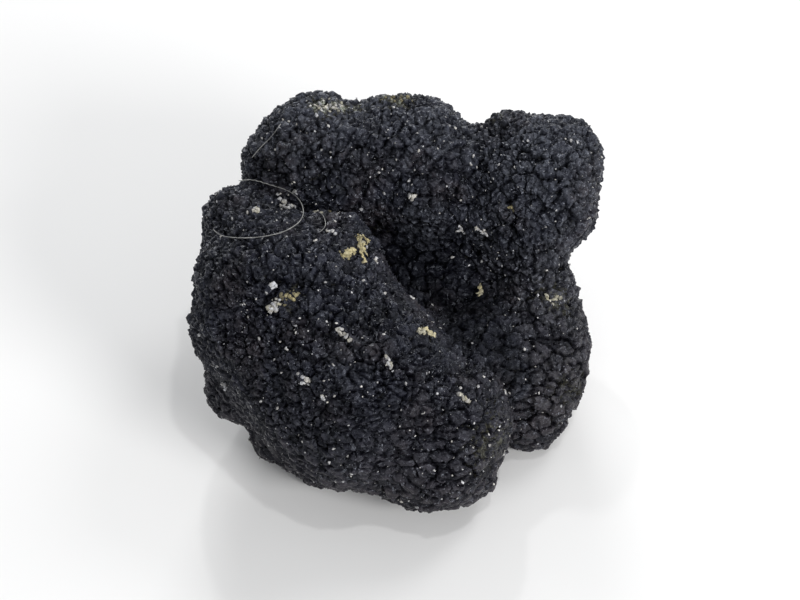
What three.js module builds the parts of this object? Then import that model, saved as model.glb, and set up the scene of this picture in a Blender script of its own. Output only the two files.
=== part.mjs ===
// A black truffle: one natural piece, a lumpy tuber covered all over in low polygonal warts.
//
// The body is a smooth union of tapered capsules, the lobes. Wart centres are scattered evenly
// over its surface and joined into triangles. Each centre is then raised into a crown, and each
// triangle's middle is lowered into the furrow where three warts meet, so that the lines between
// the triangles' middles are the furrows, and every wart is a low pyramid of five to seven faces.
//
// Millimetres, +Z up. The origin is on the surface that the truffle lies on, under the middle of
// its bounding box. -Y is the truffle's front: its long lobe lies there.

import * as THREE from 'three';
import { ConvexHull } from 'three/addons/math/ConvexHull.js';

// ---------------------------------------------------------------------------------------------
// Driving dimensions
// ---------------------------------------------------------------------------------------------

// Each lobe runs from one point to another, and its radius changes evenly on the way.
const LOBES = [
  { name: 'front knob', from: [-33.5, 9.5, 41.5], to: [-27, -4, 36], radii: [10.9, 18.3] },
  { name: 'front middle', from: [-26, -7, 34.5], to: [-11, -21, 26.5], radii: [19.2, 21.2] },
  { name: 'front low', from: [-9, -22, 25.5], to: [8, -27, 16.2], radii: [20.2, 16.2] },
  { name: 'front crest', from: [-20.5, 1.5, 40], to: [-12.8, 1.2, 43.6], radii: [9.5, 7.2] },
  { name: 'front crest low', from: [-12.8, 1.2, 43.6], to: [-10.5, -6.5, 37.5], radii: [7.2, 8] },
  { name: 'left nodule', from: [-37, -14.5, 16], to: [-25, -12.5, 22], radii: [6.5, 11] },
  { name: 'left underside', from: [-27, -19, 6.5], to: [-17, -23.5, 8], radii: [6, 8] },
  { name: 'back left', from: [-23.8, 27.2, 47.8], to: [-12, 27.5, 44], radii: [11.4, 12.4] },
  { name: 'back left tip', from: [-19, 34, 54.5], to: [-19, 31, 51.5], radii: [5, 6.5] },
  { name: 'back middle', from: [-2, 29.5, 44.5], to: [4, 29, 44], radii: [13, 13] },
  { name: 'back middle top', from: [-3, 33, 48.6], to: [0.5, 32.6, 48], radii: [9.5, 9.2] },
  { name: 'back right', from: [29.5, 24.2, 42.2], to: [27.5, 24, 39], radii: [14.7, 15.4] },
  { name: 'back right side', from: [36.5, 26.2, 43.4], to: [36, 20.4, 37.6], radii: [9.2, 7.8] },
  { name: 'back right tip', from: [38, 31, 49], to: [34, 29, 46.5], radii: [4.3, 6] },
  { name: 'back right bump', from: [23.2, 33, 50.2], to: [26, 30, 47], radii: [4.5, 6.8] },
  { name: 'right top', from: [32, 8, 24], to: [30, 0.5, 17], radii: [8.5, 11] },
  { name: 'right low', from: [29, -1, 15.5], to: [28, -8.2, 9.5], radii: [10.8, 12.3] },
  { name: 'front foot', from: [-15, -13, 16.8], to: [-4, -10, 16.6], radii: [16.8, 16.8] },
  { name: 'front foot right', from: [8, -12, 16.5], to: [18, -7, 16], radii: [15.5, 14] },
  { name: 'left foot', from: [-25, -5, 18.5], to: [-20, 7, 17.5], radii: [13.5, 14] },
  { name: 'back foot left', from: [-18, 24, 15], to: [-7, 26, 14.8], radii: [14.7, 15] },
  { name: 'back foot right', from: [11, 28, 17.5], to: [20, 22, 18], radii: [13.5, 14.5] },
  { name: 'back waist', from: [-12, 24, 29], to: [15, 25, 26], radii: [13, 13.5] },
  { name: 'middle', from: [-14, 8, 18.5], to: [16, 10, 14], radii: [15, 13] },
];
const CREASE_ROUNDING = 2.0;      // how softly one lobe runs into the next

// Long, low waves make the lobes uneven.
const SWELL_COUNT = 9;
const SWELL_HEIGHT = 0.28;        // of each wave
const SWELL_LENGTH_MIN = 13;
const SWELL_LENGTH_MAX = 26;

// Warts, a little coarser than on the real thing.
const WART_SPACING = 3.12;        // least distance between two wart centres
const WART_SPACING_CHANGE = 0.16; // share by which that distance drifts from place to place
const WART_RISE = 0.45;           // crown above the body's mean surface
const WART_RISE_SPREAD = 0.3;     // how much that differs from wart to wart, up or down
const FURROW_DEPTH = 0.65;        // where three warts meet, below the mean surface
const OPEN_REACH = 3;             // relief fades where the facing wall of a crease is this near
const OPEN_SHARE = [0.25, 0.85];  // share of that reach left open: no relief, and full relief

// The inner point from which nearly all of the surface can be seen.
const HEART = new THREE.Vector3(0, 8, 22);
const REACH = 75;                 // from the heart to well outside the surface

const SEED = 41;
const CANDIDATES = 60000;         // places tried for warts
const LONG_EDGE = 1.75;           // times the spacing: a wart is added between two that far apart
const SPLIT_ROUNDS = 4;
const RELAX_ROUNDS = 6;
const RELAX_SHARE = 0.4;
const PERIDIUM = { color: 0x1d1a1b, roughness: 0.6, metalness: 0 };

// ---------------------------------------------------------------------------------------------
// Helpers
// ---------------------------------------------------------------------------------------------

// A repeatable source of numbers from 0 to 1 (the mulberry32 generator).
function seededRandom(seed) {
  let state = seed;
  return () => {
    state = (state + 0x6d2b79f5) | 0;
    let mixed = Math.imul(state ^ (state >>> 15), 1 | state);
    mixed = (mixed + Math.imul(mixed ^ (mixed >>> 7), 61 | mixed)) ^ mixed;
    return ((mixed ^ (mixed >>> 14)) >>> 0) / 4294967296;
  };
}

const random = seededRandom(SEED);
const randomBetween = (low, high) => low + (high - low) * random();

// An even draw over the unit sphere.
function randomDirection() {
  const height = randomBetween(-1, 1);
  const turn = randomBetween(0, 2 * Math.PI);
  const radius = Math.sqrt(1 - height * height);
  return new THREE.Vector3(radius * Math.cos(turn), radius * Math.sin(turn), height);
}

// ---------------------------------------------------------------------------------------------
// The body: a distance that is negative inside it and zero on its surface
// ---------------------------------------------------------------------------------------------

const lobes = LOBES.map(({ from, to, radii }) => {
  const start = new THREE.Vector3(...from);
  const along = new THREE.Vector3(...to).sub(start);
  return { start, along, lengthSquared: along.lengthSq(), radii };
});

const swells = Array.from({ length: SWELL_COUNT }, () => ({
  wave: randomDirection().multiplyScalar(
    2 * Math.PI / randomBetween(SWELL_LENGTH_MIN, SWELL_LENGTH_MAX)),
  phase: randomBetween(0, 2 * Math.PI),
}));

const offset = new THREE.Vector3();

function lobeDistance(point, lobe) {
  offset.subVectors(point, lobe.start);
  const share = THREE.MathUtils.clamp(offset.dot(lobe.along) / lobe.lengthSquared, 0, 1);
  offset.addScaledVector(lobe.along, -share);
  return offset.length() - THREE.MathUtils.lerp(lobe.radii[0], lobe.radii[1], share);
}

function swellAt(point) {
  return swells.reduce((sum, { wave, phase }) => sum + Math.sin(wave.dot(point) + phase), 0);
}

function bodyDistance(point) {
  const distances = lobes.map((lobe) => lobeDistance(point, lobe));
  const nearest = Math.min(...distances);
  const crowd = distances.reduce(
    (sum, distance) => sum + Math.exp((nearest - distance) / CREASE_ROUNDING), 0);
  return nearest - CREASE_ROUNDING * Math.log(crowd) + SWELL_HEIGHT * swellAt(point);
}

function bodyNormal(point) {
  const step = 0.2;
  const slope = (axis) => {
    const ahead = point.clone();
    const behind = point.clone();
    ahead[axis] += step;
    behind[axis] -= step;
    return bodyDistance(ahead) - bodyDistance(behind);
  };
  return new THREE.Vector3(slope('x'), slope('y'), slope('z')).normalize();
}

// The outermost point of the surface in one direction from the heart.
function surfaceTowards(direction) {
  const point = HEART.clone().addScaledVector(direction, REACH);
  for (let gap = bodyDistance(point); gap > 0.02; gap = bodyDistance(point)) {
    point.addScaledVector(direction, -0.7 * gap);
  }
  return point;
}

function settleOnSurface(point) {
  for (let round = 0; round < 3; round += 1) {
    point.addScaledVector(bodyNormal(point), -bodyDistance(point));
  }
  return point;
}

// 1 where the surface is open, falling to 0 down in a tight crease.
function openness(point, normal) {
  const ahead = point.clone().addScaledVector(normal, OPEN_REACH);
  return THREE.MathUtils.smoothstep(bodyDistance(ahead) / OPEN_REACH, ...OPEN_SHARE);
}

// ---------------------------------------------------------------------------------------------
// The warts' centres
// ---------------------------------------------------------------------------------------------

// Keeps a candidate only if no centre is within the spacing that holds there. Centres are filed
// in cubes a spacing wide, so that only the cubes around a candidate are searched.
function scatterCentres() {
  const cubeSize = WART_SPACING * (1 + WART_SPACING_CHANGE);
  const cubes = new Map();
  const cubeOf = (point) => point.clone().divideScalar(cubeSize).floor();
  const keyOf = (x, y, z) => `${x},${y},${z}`;
  const centres = [];

  for (let trial = 0; trial < CANDIDATES; trial += 1) {
    const direction = randomDirection();
    const point = surfaceTowards(direction);
    const drift = swellAt(point.clone().multiplyScalar(0.5)) / Math.sqrt(SWELL_COUNT);
    const change = THREE.MathUtils.clamp(drift, -1, 1) * WART_SPACING_CHANGE;
    const spacing = WART_SPACING * (1 + change);
    const cube = cubeOf(point);
    let crowded = false;
    for (let x = cube.x - 1; x <= cube.x + 1 && !crowded; x += 1) {
      for (let y = cube.y - 1; y <= cube.y + 1 && !crowded; y += 1) {
        for (let z = cube.z - 1; z <= cube.z + 1 && !crowded; z += 1) {
          const filed = cubes.get(keyOf(x, y, z)) ?? [];
          crowded = filed.some((centre) => centre.distanceTo(point) < spacing);
        }
      }
    }
    if (crowded) continue;
    centres.push({ point, direction });
    const key = keyOf(cube.x, cube.y, cube.z);
    cubes.set(key, [...(cubes.get(key) ?? []), point]);
  }
  return centres;
}

// Seen from the heart, the centres lie on a sphere, and the hull of that sphere joins neighbours.
function joinCentres(centres) {
  const directions = centres.map(({ direction }) => direction);
  const indexOf = new Map(directions.map((direction, index) => [direction, index]));
  const hull = new ConvexHull().setFromPoints(directions);
  return hull.faces.map((face) => {
    const first = face.edge;
    return [first, first.next, first.next.next].map((edge) => indexOf.get(edge.head().point));
  });
}

// ---------------------------------------------------------------------------------------------
// Even triangles
// ---------------------------------------------------------------------------------------------

function cornerAngle(corner, one, other) {
  return one.clone().sub(corner).angleTo(other.clone().sub(corner));
}

function triangleNormal(a, b, c) {
  return b.clone().sub(a).cross(c.clone().sub(a)).normalize();
}

// Maps each directed edge to its triangle and the corner across from it.
function edgeTable(triangles, count) {
  const table = new Map();
  triangles.forEach((corners, triangle) => corners.forEach((start, place) => {
    const end = corners[(place + 1) % 3];
    table.set(start * count + end, { triangle, across: corners[(place + 2) % 3] });
  }));
  return table;
}

// Where the two corners across an edge add up to more than half a turn, the edge is turned to
// join them instead, unless that would fold the surface.
function turnBadEdges(points, triangles) {
  const mostSweeps = 30;
  const leastAgreement = 0.3;
  for (let sweep = 0; sweep < mostSweeps; sweep += 1) {
    const table = edgeTable(triangles, points.length);
    const changed = new Set();
    for (const [key, left] of table) {
      const start = Math.floor(key / points.length);
      const end = key % points.length;
      const right = table.get(end * points.length + start);
      const joined = left.across * points.length + right.across;
      const crossed = right.across * points.length + left.across;
      if (start > end || table.has(joined) || table.has(crossed)) continue;
      if (changed.has(left.triangle) || changed.has(right.triangle)) continue;
      const [a, b] = [points[start], points[end]];
      const [c, d] = [points[left.across], points[right.across]];
      if (cornerAngle(c, a, b) + cornerAngle(d, a, b) <= Math.PI + 0.01) continue;
      const outward = triangleNormal(a, b, c).add(triangleNormal(b, a, d)).normalize();
      const agreement = Math.min(
        triangleNormal(a, d, c).dot(outward), triangleNormal(d, b, c).dot(outward));
      if (agreement < leastAgreement) continue;
      triangles[left.triangle] = [start, right.across, left.across];
      triangles[right.triangle] = [right.across, end, left.across];
      changed.add(left.triangle).add(right.triangle);
    }
    if (changed.size === 0) return;
  }
}

// Where two joined centres are too far apart, as on a wall that overhangs, one is added between
// them. It takes one edge of a triangle at a time.
function splitLongEdges(points, triangles) {
  const table = edgeTable(triangles, points.length);
  const count = points.length;
  const changed = new Set();
  for (const [key, left] of table) {
    const start = Math.floor(key / count);
    const end = key % count;
    const right = table.get(end * count + start);
    if (start > end || changed.has(left.triangle) || changed.has(right.triangle)) continue;
    if (points[start].distanceTo(points[end]) < LONG_EDGE * WART_SPACING) continue;
    const added = points.length;
    points.push(settleOnSurface(points[start].clone().lerp(points[end], 0.5)));
    triangles[left.triangle] = [start, added, left.across];
    triangles[right.triangle] = [end, added, right.across];
    triangles.push([added, end, left.across], [added, start, right.across]);
    changed.add(left.triangle).add(right.triangle);
  }
}

// Each centre moves part of the way to the middle of its neighbours, along the surface.
function relaxCentres(points, triangles) {
  const sums = points.map(() => ({ total: new THREE.Vector3(), count: 0 }));
  for (const corners of triangles) {
    corners.forEach((corner, place) => {
      sums[corner].total.add(points[corners[(place + 1) % 3]]);
      sums[corner].count += 1;
    });
  }
  points.forEach((point, index) => {
    const middle = sums[index].total.divideScalar(sums[index].count);
    settleOnSurface(point.lerp(middle, RELAX_SHARE));
  });
}

// ---------------------------------------------------------------------------------------------
// Relief and assembly
// ---------------------------------------------------------------------------------------------

// A crown for each centre, a furrow point for each triangle, and two faces for each old edge.
function warty(points, triangles) {
  const raised = (point, height) => {
    const normal = bodyNormal(point);
    return point.clone().addScaledVector(normal, height * openness(point, normal));
  };
  const crowns = points.map((point) => raised(
    point, WART_RISE + randomBetween(-WART_RISE_SPREAD, WART_RISE_SPREAD)));
  const furrows = triangles.map((corners) => {
    const middle = new THREE.Vector3();
    corners.forEach((corner) => middle.addScaledVector(points[corner], 1 / 3));
    return raised(settleOnSurface(middle), -FURROW_DEPTH);
  });

  const table = edgeTable(triangles, points.length);
  const faces = [];
  for (const [key, left] of table) {
    const start = Math.floor(key / points.length);
    const end = key % points.length;
    const right = table.get(end * points.length + start);
    faces.push([start, points.length + right.triangle, points.length + left.triangle]);
  }
  return { vertices: [...crowns, ...furrows], faces };
}

// What lies lower than the resting surface is flattened onto it.
function restOnFloor(vertices) {
  vertices.forEach((vertex) => {
    vertex.z = Math.max(vertex.z, 0);
  });
}

function buildTruffle() {
  const centres = scatterCentres();
  const points = centres.map(({ point }) => point);
  const triangles = joinCentres(centres);
  turnBadEdges(points, triangles);
  for (let round = 0; round < RELAX_ROUNDS; round += 1) {
    if (round < SPLIT_ROUNDS) splitLongEdges(points, triangles);
    turnBadEdges(points, triangles);
    relaxCentres(points, triangles);
    turnBadEdges(points, triangles);
  }
  const { vertices, faces } = warty(points, triangles);
  restOnFloor(vertices);

  const geometry = new THREE.BufferGeometry().setFromPoints(vertices);
  geometry.setIndex(faces.flat());
  geometry.computeBoundingBox();
  const middle = geometry.boundingBox.getCenter(new THREE.Vector3());
  geometry.translate(-middle.x, -middle.y, 0);
  geometry.computeVertexNormals();

  const mesh = new THREE.Mesh(geometry, new THREE.MeshStandardMaterial(PERIDIUM));
  mesh.name = 'truffle';
  return mesh;
}

const group = new THREE.Group();
group.add(buildTruffle());

export default group;
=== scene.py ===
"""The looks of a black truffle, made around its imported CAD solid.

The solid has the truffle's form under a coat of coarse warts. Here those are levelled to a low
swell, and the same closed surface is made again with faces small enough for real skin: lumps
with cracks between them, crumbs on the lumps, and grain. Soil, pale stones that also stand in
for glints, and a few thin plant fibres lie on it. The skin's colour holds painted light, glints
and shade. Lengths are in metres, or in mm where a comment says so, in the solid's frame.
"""
import math
from typing import NamedTuple

import bmesh
import bpy
import numpy as np
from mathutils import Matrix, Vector, noise
from mathutils.bvhtree import BVHTree


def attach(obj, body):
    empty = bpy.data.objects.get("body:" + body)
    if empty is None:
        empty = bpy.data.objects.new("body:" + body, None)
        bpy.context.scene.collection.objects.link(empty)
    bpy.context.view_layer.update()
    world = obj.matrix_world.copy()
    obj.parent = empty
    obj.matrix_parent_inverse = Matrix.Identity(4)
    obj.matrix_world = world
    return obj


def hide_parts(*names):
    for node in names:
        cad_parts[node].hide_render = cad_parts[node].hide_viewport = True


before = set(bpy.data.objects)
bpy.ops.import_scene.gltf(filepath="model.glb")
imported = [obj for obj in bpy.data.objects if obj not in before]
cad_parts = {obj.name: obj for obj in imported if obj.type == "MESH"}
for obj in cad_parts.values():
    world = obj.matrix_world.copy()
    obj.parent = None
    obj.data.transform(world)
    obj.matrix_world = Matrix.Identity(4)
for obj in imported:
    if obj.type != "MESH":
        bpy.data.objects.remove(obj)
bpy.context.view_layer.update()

MM = 0.001
SEED = 11


class Cells(NamedTuple):
    """A pattern of many-sided cells, each of them a rounded lump between furrows."""
    size: float                      # about how far apart the cells are
    depth: float                     # of the furrows
    edge: float                      # width of a cell's rounded edge
    rise: float                      # how much higher or lower than others a cell may stand
    lean: float                      # slope that it may lean by


class Pattern(NamedTuple):
    """A noise pattern for a material, level below one value of the noise and above another."""
    size: float
    detail: float
    roughness: float
    start: float                     # the value below which it is level
    end: float                       # and the one above which it is


class Bumps(NamedTuple):
    """Relief from a noise pattern, too fine to be modelled, that only the light shows."""
    size: float
    detail: float
    roughness: float
    depth: float


class Lamp(NamedTuple):
    """A round soft light that faces the truffle."""
    place: tuple
    size: float
    watts: float
    colour: tuple


# --- The skin's form ---
WELD = 0.001 * MM                    # corners of the solid closer than this are one
LEVELLING = (0.5, -0.52)             # steps of a smoothing round: inwards, then back out
COARSE_SMOOTHING = 6                 # rounds that level the solid's coarse warts
COARSE_KEPT = 0.2                    # share of them that stays, as a swell under the skin
GRID = 0.34 * MM                     # size of the faces that the skin is worked with
GRID_SMOOTHING = 2                   # rounds that take the steps out of them
OUTWARD_SMOOTHING = 6                # rounds that even out the directions in which it rises
SKIN_TRIANGLES = 195000              # what it is thinned out to

LUMPS = Cells(3.6 * MM, 0.8 * MM, 0.8 * MM, 0.24 * MM, 0.18)
LUMPS_LOST = 0.25                    # share of the lumps' relief that is lost on top
CRUMBS = Cells(1.35 * MM, 0.5 * MM, 0.4 * MM, 0.22 * MM, 0.42)
CRUMBS_LOST = 0.6                    # share of the crumbs' relief that is worn away low down
WEAR = 0.35                          # share of it that wears away in patches, all over
WEAR_SIZE = 7 * MM
SWELL_SIZE = 9 * MM
SWELL_HEIGHT = 0.5 * MM
GRAIN_SIZE = 0.5 * MM
GRAIN_HEIGHT = 0.1 * MM
NOISE_LAYERS = (1, 2, 2)             # of wear, swell and grain: fading, shrinking, number
SKIN_RISE = 0.45 * MM                # of the whole skin over the levelled solid
WARP = 0.4 * MM                      # how far the furrows stray
WARP_SIZE = 1.5 * MM
SCATTER_TURNS = 40                   # the two are large, so that cells side by side get numbers
SCATTER_SCALE = 9999                 # that have nothing to do with each other
LUMP_TONE = 0.2                      # how much the tone differs from lump to lump
CRUMB_TONE = 0.3                     # and from crumb to crumb

# Low on the truffle the cells are worn, and flattened into rows that drop towards its right.
TOP_HEIGHT = 40 * MM
LOW_HEIGHT = 14 * MM
FLATTENING = 1.7
FLATTENING_AXIS = np.array((0.3, 0.0, 0.95))

# In a crease, the relief is held back where the other side is near.
CREASE_REACH = 5 * MM
CREASE_START = 0.3 * MM
CREASE_RELIEF = 0.3                  # share of the relief that is left where the sides meet

# --- Marks on the skin ---
# Where dusty soil stains it, where painted light makes it pale, and where painted shade makes it
# dark: the middle of each spot and its reach, in mm, and its strength.
STAINS = {
    "rim_left": ((-17.6, 30.6, 59.4), 4.6, 0.9),
    "rim_left_inner": ((-13.6, 32.2, 57.8), 4.0, 0.9),
    "rim_left_end": ((-10.0, 33.2, 56.3), 3.6, 0.85),
    "rim_middle": ((-1.5, 36.0, 57.0), 6.5, 0.75),
    "rim_right": ((22.0, 33.5, 54.5), 4.0, 0.6),
    "pit": ((-14.5, 11.5, 46.0), 3.5, 0.45),
    "shoulder": ((-22.0, -19.2, 49.9), 4.0, 0.5),
    "ridge": ((6.0, -20.0, 40.5), 3.0, 0.5),
    "right_top": ((34.0, 2.0, 28.0), 8.0, 0.5),
    "front_low": ((19.5, -34.5, 22.0), 12.0, 0.5),
    "right_low": ((37.0, -12.0, 14.0), 11.0, 0.4),
    "nodule": ((-36.0, -21.0, 25.0), 4.5, 0.4),
}
# Painted light: a pale sheen on the crowns, where the skin catches the most light.
PAINTED_LIGHT = {
    "back_right": ((31.0, 24.0, 48.0), 24.0, 1.0),
    "right_top": ((36.0, 4.0, 32.0), 18.0, 0.8),
    "right_low": ((34.0, -14.0, 22.0), 14.0, 0.5),
    "back_middle": ((4.0, 34.0, 54.0), 22.0, 0.85),
    "back_left": ((-20.0, 32.0, 54.0), 22.0, 1.0),
    "knob": ((-30.0, 5.0, 52.0), 12.0, 0.2),
    "back_right_foot": ((23.0, 12.0, 38.0), 12.0, 0.6),
    "hollow_wall": ((5.5, 14.8, 40.0), 8.0, 0.7),
    "front": ((-9.5, -33.0, 43.7), 9.0, 0.3),
}
# Painted shade: darker, less glossy skin in the hollow and the creases, where shade falls.
PAINTED_SHADE = {
    "hollow": ((4.0, 10.5, 31.5), 17.0, 1.0),
    "hollow_front": ((15.5, -1.0, 28.0), 12.0, 0.8),
    "behind_knob": ((-30.9, 17.6, 49.8), 6.0, 0.6),
    "crest_foot": ((-5.0, -22.0, 46.7), 8.0, 0.5),
    "ridge_left": ((5.5, -23.9, 40.2), 8.0, 0.45),
    "crease_top": ((14.7, -11.7, 31.3), 9.0, 0.9),
    "crease_middle": ((20.5, -13.0, 28.7), 8.0, 0.9),
    "crease_low": ((24.2, -17.8, 23.3), 6.5, 0.9),
}
SPOT_EDGE = 1.5                      # the higher, the more of a spot has its full strength

# --- Soil, and pale stones that also stand in for glints ---
# A patch of soil lies along a short line on the skin: the line's two ends and half the patch's
# width, in mm, the number of stones, and their tint, from 0, dark earth, to 1, white.
SOIL_PATCHES = {
    "rim_left": ((-18.6, 30.0, 59.6), (-13.0, 32.4, 57.6), 1.3, 52, 0.9),
    "rim_middle": ((-3.5, 35.5, 57.5), (1.5, 36.0, 57.0), 1.2, 25, 0.12),
    "crest_left": ((-11.6, -8.4, 50.9), (-9.9, -6.0, 51.0), 1.0, 64, 0.42),
    "crest_right_top": ((-9.4, -0.9, 49.9), (-6.9, -0.9, 48.6), 0.9, 48, 0.40),
    "crest_right": ((-8.3, -2.0, 49.4), (-7.9, -7.2, 48.5), 0.6, 62, 0.46),
    "crest_speck": ((-6.0, -4.6, 46.8), (-5.2, -4.8, 46.2), 0.4, 10, 0.95),
    "shoulder_pale": ((-27.0, -21.2, 48.5), (-24.9, -20.4, 49.2), 0.95, 50, 0.9),
    "shoulder_dull": ((-23.8, -19.6, 49.7), (-20.9, -18.6, 50.2), 0.9, 36, 0.22),
    "shoulder_fleck": ((-26.4, -17.7, 51.7), (-25.6, -17.3, 51.9), 0.5, 11, 1.0),
    "ridge_left": ((3.4, -21.7, 42.2), (4.6, -21.0, 41.4), 0.7, 25, 0.75),
    "ridge_right": ((4.9, -20.2, 41.2), (7.2, -19.4, 39.4), 0.8, 42, 0.6),
    "streak_upper": ((-12.6, -25.9, 47.4), (-10.0, -27.8, 46.0), 0.3, 34, 0.95),
    "streak_lower": ((-2.9, -31.2, 44.5), (-1.6, -32.6, 42.6), 0.4, 25, 0.98),
    "valley_sliver": ((18.0, 7.4, 27.4), (18.1, 3.4, 27.4), 0.45, 25, 0.6),
    "right_tan": ((31.9, 1.8, 28.9), (35.0, 1.6, 28.4), 0.6, 28, 0.75),
    "back_right_yellow": ((24.0, 12.6, 46.2), (25.0, 12.7, 45.7), 0.6, 20, 0.3),
    "back_right_pale": ((17.2, 12.6, 39.4), (18.9, 12.2, 38.9), 0.8, 22, 1.0),
    "back_middle_pale": ((13.2, 15.2, 37.8), (14.2, 15.0, 37.2), 0.6, 14, 1.0),
    "back_middle_fleck": ((2.1, 15.8, 46.6), (3.1, 15.8, 45.8), 0.6, 15, 0.95),
    "knob_pale": ((-25.0, 12.9, 48.4), (-23.6, 10.4, 49.4), 1.7, 64, 0.98),
    "knob_fleck": ((-31.9, 4.8, 52.0), (-30.2, 4.8, 52.3), 0.8, 17, 0.9),
    "pit_pale": ((-18.0, 5.0, 50.9), (-16.9, 5.6, 50.4), 0.6, 18, 0.7),
    "pit_ochre": ((-16.4, 9.2, 48.0), (-13.8, 10.2, 46.6), 0.6, 25, 0.1),
    "crest_fleck": ((-15.2, -2.6, 53.0), (-13.8, -2.5, 52.9), 0.4, 13, 1.0),
    "nodule_fleck": ((-37.8, -21.9, 26.4), (-36.7, -22.4, 25.8), 0.6, 15, 1.0),
    "front_fleck": ((-19.7, -34.6, 42.0), (-18.9, -35.2, 41.5), 0.6, 17, 1.0),
    "front_low_fleck": ((-15.9, -38.2, 40.3), (-14.8, -38.5, 39.9), 0.5, 14, 1.0),
    "crease_fleck": ((21.4, -22.3, 23.9), (22.7, -21.8, 23.6), 0.5, 14, 0.95),
    "front_right_streak": ((12.3, -30.6, 33.2), (14.6, -30.9, 30.6), 0.25, 17, 0.85),
}
PATCH_STONE = (0.25 * MM, 0.68 * MM)  # range of the radius
PATCH_TINT_SPREAD = 0.08             # how much the tint differs within a patch
# Lone stones: pale sand that also stands in for glints, as painted highlights.
LONE_STONE = (0.12 * MM, 0.5 * MM)   # range of the radius
LONE_STONE_SKEW = 2.5                # the higher, the more of them are small
LONE_STONE_PLACES = 1700             # of which some are left out under the painted shade
LONE_TINT = (0.95, 1.0)
STONE_SHADE = (0.45, 1.0)            # how bright one stone is beside another
STONE_RISE = 0.35                    # of a stone's middle over the skin, as a share of its radius
STONE_CORNER_REACH = (0.65, 1.25)    # how far out its corners may be, as shares of the radius
STONE_THICKNESS = 0.5                # beside its length, and its width lies between the two

# --- Fibres ---
# Two short fibres, each by the places in mm that its line goes through.
SHORT_FIBRES = {
    "twig": [(-31.5, 22.0, 52.6), (-29.6, 22.0, 54.9), (-27.4, 22.6, 57.1), (-25.8, 24.9, 58.9)],
    "wisp": [(-17.4, 4.2, 50.9), (-16.0, 1.2, 51.6), (-15.6, -1.8, 52.8), (-17.0, -5.2, 53.0)],
}
# The third lies round the front knob, in an ellipse that is open on the left: its middle, the
# ways from there to its right end and to its back, and the turns between which it runs.
LOOP_MIDDLE = Vector((-30.8, 5.1, 51.0)) * MM
LOOP_RIGHT = Vector((10.3, -1.0, 1.8)) * MM
LOOP_BACK = Vector((-0.8, 12.0, -2.4)) * MM
LOOP_TURNS = (-0.43, 0.3)
LOOP_PLACES = 14
FIBRE_RADIUS = {"loop": 0.09 * MM, "twig": 0.08 * MM, "wisp": 0.07 * MM}
FIBRE_LIFT = 1.0 * MM                # above the levelled solid, so that it lies on the crumbs
FIBRE_SIDES = 6
FIBRE_STEPS = 6                      # between two points of its line
FIBRE_EASING = 6                     # rounds that take the kinks out of it

# --- Finishes ---
# A ramp is a list of stops, each of them a place from 0 to 1 and a colour.
# The skin's colour, with painted shade: darkest down in the furrows, palest on the crowns.
SKIN_AND_FURROW_SHADE_RAMP = [                        # from the bottom of the furrows up to the crowns
    (0.0, (0.0005, 0.0005, 0.0013)),
    (0.45, (0.0021, 0.0022, 0.0042)),
    (0.8, (0.0058, 0.0061, 0.0102)),
    (1.0, (0.0175, 0.0186, 0.0265)),
]
BROWN_PATCHES = Pattern(12 * MM, 2, 0.5, 0.5, 0.66)
BROWN_TINT = (1.32, 1.07, 0.87)      # what the colour is multiplied by there, and low down
UNSHADED_LIMIT = 0.5                      # skin deeper in the painted shade than this isn't brown low down
TONE_SHADES = (0.6, 1.45)            # how bright the dark and the pale cells are
PAINTED_SHADE_BRIGHTNESS = 0.4                     # how bright skin under the painted shade is beside the rest

# Painted light: a pale bluish sheen on the crowns, warmer low down.
PAINTED_LIGHT_HEIGHTS = (0.2, 0.95)          # from where on a cell it shows to where it is full
PAINTED_LIGHT_BREAKS = Pattern(1.1 * MM, 4, 0.6, 0.44, 0.64)
PAINTED_LIGHT_LEFT = 0.05                    # share of it that is left in the breaks
PAINTED_LIGHT_COLOUR = (0.076, 0.082, 0.101)
PAINTED_LIGHT_LOW_COLOUR = (0.086, 0.081, 0.079)

# Soil dust is caught where the stain and its pattern add up to enough, and less on the crowns.
DUST_BREAKS = Pattern(1.3 * MM, 5, 0.65, 0.35, 0.65)
DUST_FALL = 0.3                      # how much the sum is lowered on the crowns
DUST_LIMITS = (0.75, 1.05)           # sums at which dust shows, and covers the skin
PALE_BREAKS = Pattern(0.7 * MM, 5, 0.65, 0.4, 0.6)
DUST_RAMP = [                        # from the least to the most stained
    (0.1, (0.020, 0.019, 0.014)),
    (0.45, (0.055, 0.053, 0.038)),
    (0.8, (0.300, 0.320, 0.270)),
]

# Painted glints: tiny pale specks on the crowns.
PAINTED_GLINTS = Pattern(0.5 * MM, 2, 0.6, 0.63, 0.73)
GLINT_HEIGHTS = (0.3, 0.8)           # from where on a cell they show to where they are full
GLINTS_WITHOUT_PAINTED_LIGHT = 0.5                # share of their strength that is left without painted light
GLINTS_IN_PAINTED_SHADE = 0.2                    # and under the painted shade
GLINT_COLOUR = (0.27, 0.28, 0.32)

ROUGH_PATCHES = Pattern(0.9 * MM, 3, 0.5, 0.36, 0.6)
ROUGHNESS = (0.14, 0.42)
TONE_ROUGHNESS = (0.16, -0.04)       # what is added to it on the dark and on the pale cells
GLOSS = (0.23, 0.12)                 # specular level of the skin outside and under the painted shade
GLOSS_TINT = (0.80, 0.86, 1.0)
COARSE_BUMPS = Bumps(0.9 * MM, 3, 0.55, 0.15 * MM)
FINE_BUMPS = Bumps(0.3 * MM, 3, 0.6, 0.06 * MM)

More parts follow.
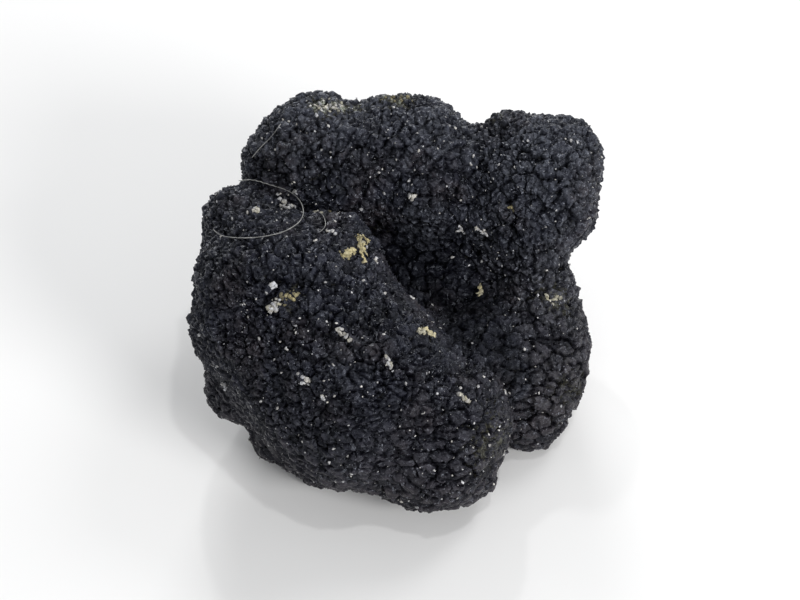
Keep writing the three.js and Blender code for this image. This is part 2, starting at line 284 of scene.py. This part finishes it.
# Its white end also colours the lone stones that stand in for glints.
SOIL_RAMP = [                        # dark earth, ochre, tan, pale sand and white
    (0.0, (0.08, 0.074, 0.055)),
    (0.42, (0.62, 0.54, 0.29)),
    (0.75, (0.54, 0.52, 0.42)),
    (0.95, (0.68, 0.66, 0.63)),
    (1.0, (0.66, 0.67, 0.71)),
]
SOIL_DIRT = Pattern(0.5 * MM, 2, 0.5, 0.35, 0.65)
SOIL_DIRT_TINT = (0.6, 0.59, 0.57)   # what the colour is multiplied by there
SOIL_ROUGHNESS = 0.8
SOIL_BUMPS = Bumps(0.2 * MM, 3, 0.5, 0.05 * MM)

FIBRE_STREAKS = Pattern(2.5 * MM, 2, 0.5, 0.35, 0.65)
FIBRE_DARK = (0.09, 0.09, 0.09)
FIBRE_PALE = (0.34, 0.34, 0.33)
FIBRE_ROUGHNESS = 0.55

# --- Studio ---
FLOOR_HALF = 3.0                     # half its width
FLOOR_DROP = 0.02 * MM               # below the truffle's lowest points
FLOOR_CLOUDS = Pattern(0.4, 2, 0.5, 0.3, 0.7)
FLOOR_GREYS = (0.84, 0.88)
FLOOR_ROUGHNESS = 0.8

WHITE = (1.0, 1.0, 1.0)
LAMPS = {
    "key_light": Lamp((0.64, -0.64, 0.45), 0.4, 7.5, (1.0, 0.99, 0.98)),
    "front_light": Lamp((-0.2, -0.85, 0.5), 0.4, 0.7, WHITE),
    "right_light": Lamp((0.5, 0.45, 0.75), 0.4, 2.0, WHITE),
    "back_light": Lamp((-0.1, 0.9, 0.48), 0.4, 4.5, WHITE),
    "back_glint": Lamp((-0.1, 0.65, 0.75), 0.05, 1.0, WHITE),
    "top_glint": Lamp((0.15, -0.2, 0.95), 0.05, 1.0, WHITE),
}
ROOM_COLOUR = (0.97, 0.985, 1.0)
ROOM_STRENGTH = 0.38

CAMERA_ELEVATION = math.radians(45)
CAMERA_DISTANCE = 0.43
CAMERA_LENS = 88
CAMERA_NEAR = 10 * MM                # it shows nothing nearer than this
AIM = Vector((0, 0, 0.03))


# --- Mesh helpers ---

def mesh_arrays(mesh, sides):
    """The corners and the faces of a mesh whose faces all have so many sides."""
    corners = np.empty(len(mesh.vertices) * 3)
    mesh.vertices.foreach_get("co", corners)
    faces = np.empty(len(mesh.loops), int)
    mesh.loops.foreach_get("vertex_index", faces)
    return corners.reshape(-1, 3), faces.reshape(-1, sides)


def cad_surface(node):
    """The corners of a CAD node, each of them once, and its triangles."""
    corners, faces = mesh_arrays(node.data, 3)
    places = np.round(corners / WELD).astype(int)
    _, first, same = np.unique(places, axis=0, return_index=True, return_inverse=True)
    return corners[first], same.reshape(-1)[faces]


def neighbour_means(values, faces):
    """For each point, the mean of the values at the points it shares an edge with."""
    sums = np.zeros_like(values)
    counts = np.zeros(len(values))
    for turn in range(faces.shape[1]):
        start, end = faces[:, turn], faces[:, turn - 1]
        np.add.at(sums, start, values[end])
        np.add.at(counts, start, 1)
    return sums / counts[:, None]


def levelled(points, faces, rounds):
    """The surface with its small relief smoothed away, at about the size it was."""
    for _ in range(rounds):
        for step in LEVELLING:
            points = points + step * (neighbour_means(points, faces) - points)
    return points


def unit(vectors):
    return vectors / np.linalg.norm(vectors, axis=-1, keepdims=True)


def along(vectors, directions):
    return np.einsum("nd,nd->n", vectors, directions)


def point_normals(points, faces):
    """The way out of the surface at each point, from the faces round it."""
    first, second, third = (points[faces[:, turn]] for turn in range(3))
    facing = np.cross(second - first, third - first)
    sums = np.zeros_like(points)
    for turn in range(faces.shape[1]):
        np.add.at(sums, faces[:, turn], facing)
    return unit(sums)


def new_object(name, points, faces):
    mesh = bpy.data.meshes.new(name)
    mesh.from_pydata(points, [], faces)
    item = bpy.data.objects.new(name, mesh)
    bpy.context.scene.collection.objects.link(item)
    return item


def after_modifier(item, kind, **settings):
    """A new mesh: the object's, as one modifier leaves it."""
    modifier = item.modifiers.new(kind.lower(), kind)
    for name, value in settings.items():
        setattr(modifier, name, value)
    evaluated = item.evaluated_get(bpy.context.evaluated_depsgraph_get())
    mesh = bpy.data.meshes.new_from_object(evaluated)
    item.modifiers.clear()
    return mesh


def set_attribute(mesh, name, values):
    attribute = mesh.attributes.new(name, "FLOAT", "POINT")
    attribute.data.foreach_set("value", np.asarray(values, np.float32))


def as_piece(item, material):
    """Makes the object ride on the part, with the material given."""
    item.data.materials.append(material)
    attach(item, "root")


# --- The skin ---

def levelled_solid(node):
    """The solid's surface with its coarse warts levelled to a low swell."""
    corners, triangles = cad_surface(node)
    flat = levelled(corners, triangles, COARSE_SMOOTHING)
    return flat + COARSE_KEPT * (corners - flat), triangles


def with_even_faces(points, triangles):
    """The same closed surface with small, even, four-sided faces."""
    item = new_object("levelled", points, triangles)
    mesh = after_modifier(item, "REMESH", mode="VOXEL", voxel_size=GRID)
    points, faces = mesh_arrays(mesh, 4)
    for used in (item.data, mesh):
        bpy.data.meshes.remove(used)
    return levelled(points, faces, GRID_SMOOTHING), faces


def outward_directions(points, faces):
    """The directions in which the skin rises, which turn slowly from point to point."""
    outward = point_normals(points, faces)
    for _ in range(OUTWARD_SMOOTHING):
        outward = unit(neighbour_means(outward, faces))
    return outward


def strayed(points):
    """The places that the patterns are laid out by: flattened low down, and warped."""
    below = np.maximum(TOP_HEIGHT - points @ FLATTENING_AXIS, 0)
    places = points - (FLATTENING - 1) * below[:, None] * FLATTENING_AXIS
    warps = [noise.noise_vector(place) for place in (places / WARP_SIZE).tolist()]
    return places + WARP * np.array(warps)


def cell_random(seeds, draw, count):
    """So many random numbers from -1 to 1 for each point, the same all over a cell."""
    mixed = np.sin(seeds @ draw.normal(0, SCATTER_TURNS, (3, count))) * SCATTER_SCALE
    return 2 * (mixed - np.floor(mixed)) - 1


def cell_heights(places, cells, draw):
    """The height of a pattern of cells, and a random number from -1 to 1 for the cell's tone."""
    inside = np.empty(len(places))
    seeds = np.empty_like(places)
    for number, place in enumerate((places / cells.size).tolist()):
        # A cell's edge is the plane halfway between its seed and the next nearest one.
        distances, spots = noise.voronoi(place)
        between = (spots[1] - spots[0]).length
        inside[number] = (distances[1] ** 2 - distances[0] ** 2) / (2 * between)
        seeds[number] = spots[0]
    share = np.clip(inside * cells.size / cells.edge, 0, 1)
    rounded = 1 - (1 - share) ** 2
    rise, tone = cell_random(seeds, draw, 2).T
    slope = along(cell_random(seeds, draw, 3), places - seeds * cells.size)
    return cells.depth * (rounded - 1) + cells.rise * rise + cells.lean * slope, tone


def layered_noise(points, size):
    return np.array([noise.fractal(place, *NOISE_LAYERS) for place in (points / size).tolist()])


def worn_cells(points, lowness, draw):
    """The height of the lumps and the crumbs on them, and the tone of each, from 0 to 1."""
    places = strayed(points)
    lumps, lump_tone = cell_heights(places, LUMPS, draw)
    crumbs, crumb_tone = cell_heights(places, CRUMBS, draw)
    wear = WEAR * np.clip(0.5 + layered_noise(points, WEAR_SIZE), 0, 1)
    lumps *= 1 - LUMPS_LOST * (1 - lowness)
    crumbs *= (1 - CRUMBS_LOST * lowness) * (1 - wear)
    return lumps + crumbs, 0.5 + CRUMB_TONE * crumb_tone + LUMP_TONE * lump_tone


def swell_and_grain(points):
    swell = SWELL_HEIGHT * layered_noise(points, SWELL_SIZE)
    return swell + GRAIN_HEIGHT * layered_noise(points, GRAIN_SIZE)


def relief_left(points, outward, surface):
    """The share of the relief that each point has: less where the other side of a crease is near."""
    shares = np.ones(len(points))
    starts = points + outward * CREASE_START
    for number, (start, direction) in enumerate(zip(starts.tolist(), outward.tolist())):
        _, _, _, distance = surface.ray_cast(start, direction, CREASE_REACH)
        if distance is not None:
            shares[number] = distance / CREASE_REACH
    return CREASE_RELIEF + (1 - CREASE_RELIEF) * shares


def cover(points, spots):
    """How strongly each point is covered by round spots with soft edges."""
    covered = np.zeros(len(points))
    for place, reach, strength in spots.values():
        distance = np.linalg.norm(points - np.array(place) * MM, axis=1) / (reach * MM)
        share = np.clip(SPOT_EDGE - SPOT_EDGE * distance, 0, 1)
        covered = np.maximum(covered, strength * share)
    return covered


def set_marks(mesh, points, height, tone, lowness):
    """Gives the skin's mesh what its material reads, each a number from 0 to 1."""
    set_attribute(mesh, "height", np.clip(1 + height / (LUMPS.depth + CRUMBS.depth), 0, 1))
    set_attribute(mesh, "tone", tone)
    set_attribute(mesh, "stain", cover(points, STAINS))
    # Painted light, pale on the crowns of the upper parts.
    set_attribute(mesh, "painted_light", cover(points, PAINTED_LIGHT))
    # Painted shade, dark in the hollows and creases.
    set_attribute(mesh, "painted_shade", cover(points, PAINTED_SHADE))
    set_attribute(mesh, "low", lowness)


def thin_out(item, triangles):
    """Leaves the object's mesh, all of four-sided faces, with about so many triangles."""
    fine = item.data
    item.data = after_modifier(item, "DECIMATE", ratio=triangles / (2 * len(fine.polygons)))
    bpy.data.meshes.remove(fine)


def drop_spare_corners(mesh):
    """Takes out corners with only two edges: cut into triangles, the faces there would fold."""
    work = bmesh.new()
    work.from_mesh(mesh)
    spare = [corner for corner in work.verts if len(corner.link_edges) == 2]
    bmesh.ops.dissolve_verts(work, verts=spare)
    work.to_mesh(mesh)
    work.free()


def keep_above_floor(mesh):
    for corner in mesh.vertices:
        corner.co.z = max(corner.co.z, 0)


def make_skin(body, triangles, surface, material):
    """The skin on the levelled solid, which comes as a mesh and as a surface to cast rays at."""
    draw = np.random.default_rng(SEED)
    noise.seed_set(SEED)
    points, faces = with_even_faces(body, triangles)
    outward = outward_directions(points, faces)
    lowness = np.clip((TOP_HEIGHT - points[:, 2]) / (TOP_HEIGHT - LOW_HEIGHT), 0, 1)
    height, tone = worn_cells(points, lowness, draw)
    rise = SKIN_RISE + height + swell_and_grain(points)
    points = points + outward * (rise * relief_left(points, outward, surface))[:, None]
    points[:, 2] = np.maximum(points[:, 2], 0)

    skin = new_object("warty_skin", points, faces)
    set_marks(skin.data, points, height, tone, lowness)
    thin_out(skin, SKIN_TRIANGLES)
    drop_spare_corners(skin.data)
    keep_above_floor(skin.data)
    as_piece(skin, material)
    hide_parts("truffle")
    return skin


# --- Soil, and pale stones that also stand in for glints ---

def icosahedron():
    mesh = bmesh.new()
    bmesh.ops.create_icosphere(mesh, subdivisions=1, radius=1)
    corners = np.array([corner.co for corner in mesh.verts])
    faces = np.array([[corner.index for corner in face.verts] for face in mesh.faces])
    mesh.free()
    return corners, faces


STONE_CORNERS, STONE_FACES = icosahedron()


def stone(draw, centre, outward, radius):
    """The corners of one stone, many-sided and flat, that lies flat and is turned at random."""
    axes, _ = np.linalg.qr(np.column_stack([outward, draw.normal(size=(3, 2))]))
    sizes = radius * np.array([STONE_THICKNESS, 1, draw.uniform(STONE_THICKNESS, 1)])
    reach = draw.uniform(*STONE_CORNER_REACH, (len(STONE_CORNERS), 1))
    return centre + (STONE_CORNERS * reach * sizes) @ axes.T


def lone_radius(draw):
    small, large = LONE_STONE
    return small + (large - small) * draw.random() ** LONE_STONE_SKEW


def patch_places(draw, start, end, half_width, count):
    """Places scattered about a line."""
    for _ in range(count):
        yield start + draw.random() * (end - start) + draw.normal(0, half_width / 2, 3)


def stone_spots(draw, skin):
    """Where stones lie, with their radius and tint: in the patches, and alone all over the skin,
    pale sand that also stands in for glints and is sparse under the painted shade.
    """
    for start, end, half_width, count, tint in SOIL_PATCHES.values():
        start, end = np.array(start) * MM, np.array(end) * MM
        for place in patch_places(draw, start, end, half_width * MM, count):
            yield place, draw.uniform(*PATCH_STONE), tint + draw.normal(0, PATCH_TINT_SPREAD)
    corners = skin.data.vertices
    painted_shade = skin.data.attributes["painted_shade"].data
    for number in draw.integers(0, len(corners), LONE_STONE_PLACES).tolist():
        if draw.random() >= painted_shade[number].value:
            yield corners[number].co, lone_radius(draw), draw.uniform(*LONE_TINT)


def make_soil_and_glint_stones(skin, material):
    draw = np.random.default_rng(SEED)
    surface = BVHTree.FromObject(skin, bpy.context.evaluated_depsgraph_get())
    stones = []
    tints = []
    shades = []
    for spot, radius, tint in stone_spots(draw, skin):
        place, outward, _, _ = surface.find_nearest(spot)
        centre = np.array(place + outward * radius * STONE_RISE)
        centre[2] = max(centre[2], radius * max(STONE_CORNER_REACH))
        stones.append(stone(draw, centre, outward, radius))
        tints.append(np.clip(tint, 0, 1))
        shades.append(draw.uniform(*STONE_SHADE))
    per_stone = len(STONE_CORNERS)
    faces = [STONE_FACES + number * per_stone for number in range(len(stones))]
    soil = new_object("soil_and_glint_grains", np.concatenate(stones), np.concatenate(faces))
    set_attribute(soil.data, "tint", np.repeat(tints, per_stone))
    set_attribute(soil.data, "shade", np.repeat(shades, per_stone))
    as_piece(soil, material)


# --- Fibres ---

def loop_places():
    """The places that the loop's line goes through."""
    places = []
    for turn in np.linspace(*LOOP_TURNS, LOOP_PLACES).tolist():
        angle = 2 * math.pi * turn
        places.append(LOOP_MIDDLE + math.cos(angle) * LOOP_RIGHT + math.sin(angle) * LOOP_BACK)
    return places


def smooth_line(points):
    """A Catmull-Rom curve through the points, in even steps between each two."""
    ends = [2 * points[0] - points[1], *points, 2 * points[-1] - points[-2]]
    line = []
    for before, start, end, after in zip(ends, ends[1:], ends[2:], ends[3:]):
        slope = end - before
        bend = 2 * before - 5 * start + 4 * end - after
        twist = 3 * (start - end) + after - before
        for step in range(FIBRE_STEPS):
            share = step / FIBRE_STEPS
            line.append(start + 0.5 * share * (slope + share * (bend + share * twist)))
    return line + [points[-1]]


def laid_on(place, surface):
    """The place, moved out to where a fibre lies if it is nearer to the solid than that."""
    foot, outward, _, _ = surface.find_nearest(place)
    clearance = (place - foot).dot(outward)
    return place + outward * max(FIBRE_LIFT - clearance, 0)


def eased(line):
    """The line with its kinks taken out, from the same start to the same end."""
    for _ in range(FIBRE_EASING):
        middles = [(before + after) / 2 for before, after in zip(line, line[2:])]
        line = [line[0], *middles, line[-1]]
    return line


def tube_corners(line, radius):
    """The corners of a thin tube along a line, ring by ring."""
    corners = []
    for number, place in enumerate(line):
        ahead = line[min(number + 1, len(line) - 1)] - line[max(number - 1, 0)]
        side = ahead.orthogonal().normalized()
        over = ahead.cross(side).normalized()
        for corner in range(FIBRE_SIDES):
            turn = 2 * math.pi * corner / FIBRE_SIDES
            corners.append(place + radius * (math.cos(turn) * side + math.sin(turn) * over))
    return corners


def tube_faces(rings):
    """The faces of a tube of so many rings, closed at both ends."""
    last = (rings - 1) * FIBRE_SIDES
    faces = []
    for ring in range(0, last, FIBRE_SIDES):
        for corner in range(FIBRE_SIDES):
            near = ring + corner
            beside = ring + (corner + 1) % FIBRE_SIDES
            faces.append((near, beside, beside + FIBRE_SIDES, near + FIBRE_SIDES))
    faces.append(tuple(reversed(range(FIBRE_SIDES))))
    faces.append(tuple(range(last, last + FIBRE_SIDES)))
    return faces


def make_fibres(surface, material):
    fibres = {"loop": loop_places()}
    for name, places in SHORT_FIBRES.items():
        fibres[name] = [Vector(place) * MM for place in places]
    for name, places in fibres.items():
        line = eased([laid_on(place, surface) for place in smooth_line(places)])
        corners = tube_corners(line, FIBRE_RADIUS[name])
        fibre = new_object(f"fibre_{name}", corners, tube_faces(len(line)))
        as_piece(fibre, material)


# --- Materials ---

# A Mix node has sockets for numbers, vectors and colours under the same names, so those for
# colours are told apart by their places.
MIX_SHARE = 0
MIX_ONE = 6
MIX_OTHER = 7
MIX_RESULT = 2


class Nodes:
    """A material's node tree, with short ways to add to it. A colour is three numbers."""

    def __init__(self, name):
        self.material = bpy.data.materials.new(name)
        self.material.use_nodes = True
        self.tree = self.material.node_tree
        self.shader = self.tree.nodes["Principled BSDF"]

    def add(self, kind, inputs, **settings):
        node = self.tree.nodes.new(kind)
        for name, value in settings.items():
            setattr(node, name, value)
        for socket, value in inputs.items():
            self.feed(node.inputs[socket], value)
        return node

    def feed(self, socket, value):
        if isinstance(value, bpy.types.NodeSocket):
            self.tree.links.new(value, socket)
        elif socket.type == "RGBA":
            socket.default_value = (*value, 1)
        else:
            socket.default_value = value

    def attribute(self, name):
        return self.add("ShaderNodeAttribute", {}, attribute_name=name).outputs["Fac"]

    def noise(self, size, detail, roughness):
        place = self.add("ShaderNodeTexCoord", {}).outputs["Object"]
        inputs = {"Vector": place, "Scale": 1 / size, "Detail": detail, "Roughness": roughness}
        return self.add("ShaderNodeTexNoise", inputs).outputs["Fac"]

    def spread(self, value, low, high, to_low=0.0, to_high=1.0):
        """Maps a value from one range to another, held at the ends."""
        inputs = {"Value": value, "From Min": low, "From Max": high,
                  "To Min": to_low, "To Max": to_high}
        return self.add("ShaderNodeMapRange", inputs).outputs["Result"]

    def pattern(self, pattern, to_low=0.0, to_high=1.0):
        value = self.noise(pattern.size, pattern.detail, pattern.roughness)
        return self.spread(value, pattern.start, pattern.end, to_low, to_high)

    def math(self, operation, one, other):
        return self.add(
            "ShaderNodeMath", {0: one, 1: other}, operation=operation).outputs["Value"]

    def times(self, *values):
        product = values[0]
        for value in values[1:]:
            product = self.math("MULTIPLY", product, value)
        return product

    def mix(self, share, one, other, blend="MIX"):
        inputs = {MIX_SHARE: share, MIX_ONE: one, MIX_OTHER: other}
        node = self.add("ShaderNodeMix", inputs, data_type="RGBA", blend_type=blend)
        return node.outputs[MIX_RESULT]

    def tinted(self, colour, tint):
        return self.mix(1.0, colour, tint, "MULTIPLY")

    def grey(self, value):
        inputs = {"Red": value, "Green": value, "Blue": value}
        return self.add("ShaderNodeCombineColor", inputs).outputs["Color"]

    def ramp(self, value, stops):
        node = self.add("ShaderNodeValToRGB", {"Fac": value})
        elements = node.color_ramp.elements
        while len(elements) < len(stops):
            elements.new(0.5)        # its real place follows
        for element, (place, colour) in zip(elements, stops):
            element.position = place
            element.color = (*colour, 1)
        return node.outputs["Color"]

    def bump(self, bumps, below=None):
        """The surface's direction with a noise pattern's relief, on top of another bump's."""
        height = self.noise(bumps.size, bumps.detail, bumps.roughness)
        inputs = {"Height": height, "Distance": bumps.depth, "Strength": 1.0}
        if below is not None:
            inputs["Normal"] = below
        return self.add("ShaderNodeBump", inputs).outputs["Normal"]

    def finish(self, **inputs):
        for name, value in inputs.items():
            self.feed(self.shader.inputs[name.replace("_", " ")], value)
        return self.material


class SkinMarks:
    """What the skin's material reads at a point of the mesh, each from 0 to 1."""

    def __init__(self, nodes):
        self.height = nodes.attribute("height")
        self.tone = nodes.attribute("tone")
        self.stain = nodes.attribute("stain")
        # Painted light.
        self.painted_light = nodes.attribute("painted_light")
        # Painted shade in the hollows and creases, and the low skin outside it.
        self.painted_shade = nodes.attribute("painted_shade")
        self.unshaded_low = nodes.times(
            nodes.attribute("low"), nodes.spread(self.painted_shade, 0, UNSHADED_LIMIT, 1, 0))


def bare_skin(nodes, marks):
    """The skin's colour: paler with height, with painted shade down in the furrows, browner in
    patches and low down, and darker under the painted shade of the hollows and creases.
    """
    skin = nodes.ramp(marks.height, SKIN_AND_FURROW_SHADE_RAMP)
    brown = nodes.math("MAXIMUM", nodes.pattern(BROWN_PATCHES), marks.unshaded_low)
    skin = nodes.mix(brown, skin, nodes.tinted(skin, BROWN_TINT))
    shade = nodes.spread(marks.tone, 0, 1, *TONE_SHADES)
    # Painted shade: darker in the hollows and creases.
    shade = nodes.times(shade, nodes.spread(marks.painted_shade, 0, 1, 1, PAINTED_SHADE_BRIGHTNESS))
    return nodes.tinted(skin, nodes.grey(shade))


def with_painted_light(nodes, marks, skin):
    """The skin with painted light: a pale sheen that is broken and lies on the crowns."""
    thickness = nodes.times(
        marks.painted_light,
        nodes.spread(marks.height, *PAINTED_LIGHT_HEIGHTS),
        nodes.pattern(PAINTED_LIGHT_BREAKS, PAINTED_LIGHT_LEFT, 1))
    colour = nodes.mix(marks.unshaded_low, PAINTED_LIGHT_COLOUR, PAINTED_LIGHT_LOW_COLOUR)
    return nodes.mix(thickness, skin, colour)


def with_dust(nodes, marks, skin):
    """The skin under soil dust, most in the furrows and in the stains, and palest in these."""
    caught = nodes.math("ADD", marks.stain, nodes.pattern(DUST_BREAKS))
    caught = nodes.math("SUBTRACT", caught, nodes.times(marks.height, DUST_FALL))
    pale = nodes.times(marks.stain, nodes.pattern(PALE_BREAKS))
    return nodes.mix(nodes.spread(caught, *DUST_LIMITS), skin, nodes.ramp(pale, DUST_RAMP))


def with_painted_glints(nodes, marks, skin):
    """Painted glints: tiny pale specks, most of them on the crowns and in the painted light."""
    strength = nodes.times(
        nodes.pattern(PAINTED_GLINTS),
        nodes.spread(marks.height, *GLINT_HEIGHTS),
        nodes.spread(marks.painted_light, 0, 1, GLINTS_WITHOUT_PAINTED_LIGHT, 1),
        nodes.spread(marks.painted_shade, 0, 1, 1, GLINTS_IN_PAINTED_SHADE))
    return nodes.mix(strength, skin, GLINT_COLOUR)


def skin_material():
    nodes = Nodes("truffle_peridium")
    marks = SkinMarks(nodes)
    skin = bare_skin(nodes, marks)
    skin = with_painted_light(nodes, marks, skin)
    skin = with_dust(nodes, marks, skin)
    skin = with_painted_glints(nodes, marks, skin)
    roughness = nodes.math(
        "ADD",
        nodes.pattern(ROUGH_PATCHES, *ROUGHNESS),
        nodes.spread(marks.tone, 0, 1, *TONE_ROUGHNESS))
    relief = nodes.bump(COARSE_BUMPS, below=nodes.bump(FINE_BUMPS))
    # Less gloss under the painted shade.
    gloss = nodes.spread(marks.painted_shade, 0, 1, *GLOSS)
    return nodes.finish(Base_Color=skin, Roughness=roughness, Normal=relief,
                        Specular_IOR_Level=gloss, Specular_Tint=GLOSS_TINT)


def soil_and_glint_material():
    nodes = Nodes("dry_soil_and_glints")
    soil = nodes.ramp(nodes.attribute("tint"), SOIL_RAMP)
    soil = nodes.tinted(soil, nodes.grey(nodes.attribute("shade")))
    soil = nodes.mix(nodes.pattern(SOIL_DIRT), soil, nodes.tinted(soil, SOIL_DIRT_TINT))
    relief = nodes.bump(SOIL_BUMPS)
    return nodes.finish(Base_Color=soil, Roughness=SOIL_ROUGHNESS, Normal=relief)


def fibre_material():
    nodes = Nodes("plant_fibre")
    fibre = nodes.mix(nodes.pattern(FIBRE_STREAKS), FIBRE_DARK, FIBRE_PALE)
    return nodes.finish(Base_Color=fibre, Roughness=FIBRE_ROUGHNESS)


def floor_material():
    nodes = Nodes("studio_floor")
    floor = nodes.grey(nodes.pattern(FLOOR_CLOUDS, *FLOOR_GREYS))
    return nodes.finish(Base_Color=floor, Roughness=FLOOR_ROUGHNESS)


# --- Stage ---

def make_floor():
    sides = ((-1, -1), (1, -1), (1, 1), (-1, 1))
    corners = [(x * FLOOR_HALF, y * FLOOR_HALF, -FLOOR_DROP) for x, y in sides]
    floor = new_object("floor", corners, [(0, 1, 2, 3)])
    floor.data.materials.append(floor_material())


def aimed(thing, place):
    """Puts a camera or light at a place, facing the truffle."""
    item = bpy.data.objects.new(thing.name, thing)
    item.location = place
    item.rotation_euler = (AIM - Vector(place)).to_track_quat("-Z", "Y").to_euler()
    bpy.context.scene.collection.objects.link(item)
    return item


def make_lights():
    """A soft key from the front right, three weaker lights, and two small ones for the glints."""
    for name, lamp in LAMPS.items():
        light = bpy.data.lights.new(name, "AREA")
        light.shape = "DISK"
        light.size = lamp.size
        light.energy = lamp.watts
        light.color = lamp.colour
        aimed(light, lamp.place)


def make_room():
    """An even bright surrounding."""
    world = bpy.data.worlds.new("studio")
    world.use_nodes = True
    background = world.node_tree.nodes["Background"]
    background.inputs["Color"].default_value = (*ROOM_COLOUR, 1)
    background.inputs["Strength"].default_value = ROOM_STRENGTH
    bpy.context.scene.world = world


def make_camera():
    camera = bpy.data.cameras.new("camera")
    camera.lens = CAMERA_LENS
    camera.clip_start = CAMERA_NEAR
    back = Vector((0, -math.cos(CAMERA_ELEVATION), math.sin(CAMERA_ELEVATION)))
    bpy.context.scene.camera = aimed(camera, AIM + back * CAMERA_DISTANCE)


body, triangles = levelled_solid(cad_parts["truffle"])
body_surface = BVHTree.FromPolygons(body.tolist(), triangles.tolist())
skin = make_skin(body, triangles, body_surface, skin_material())
make_soil_and_glint_stones(skin, soil_and_glint_material())
make_fibres(body_surface, fibre_material())
make_floor()
make_lights()
make_room()
make_camera()
bpy.context.scene.view_settings.view_transform = "Standard"
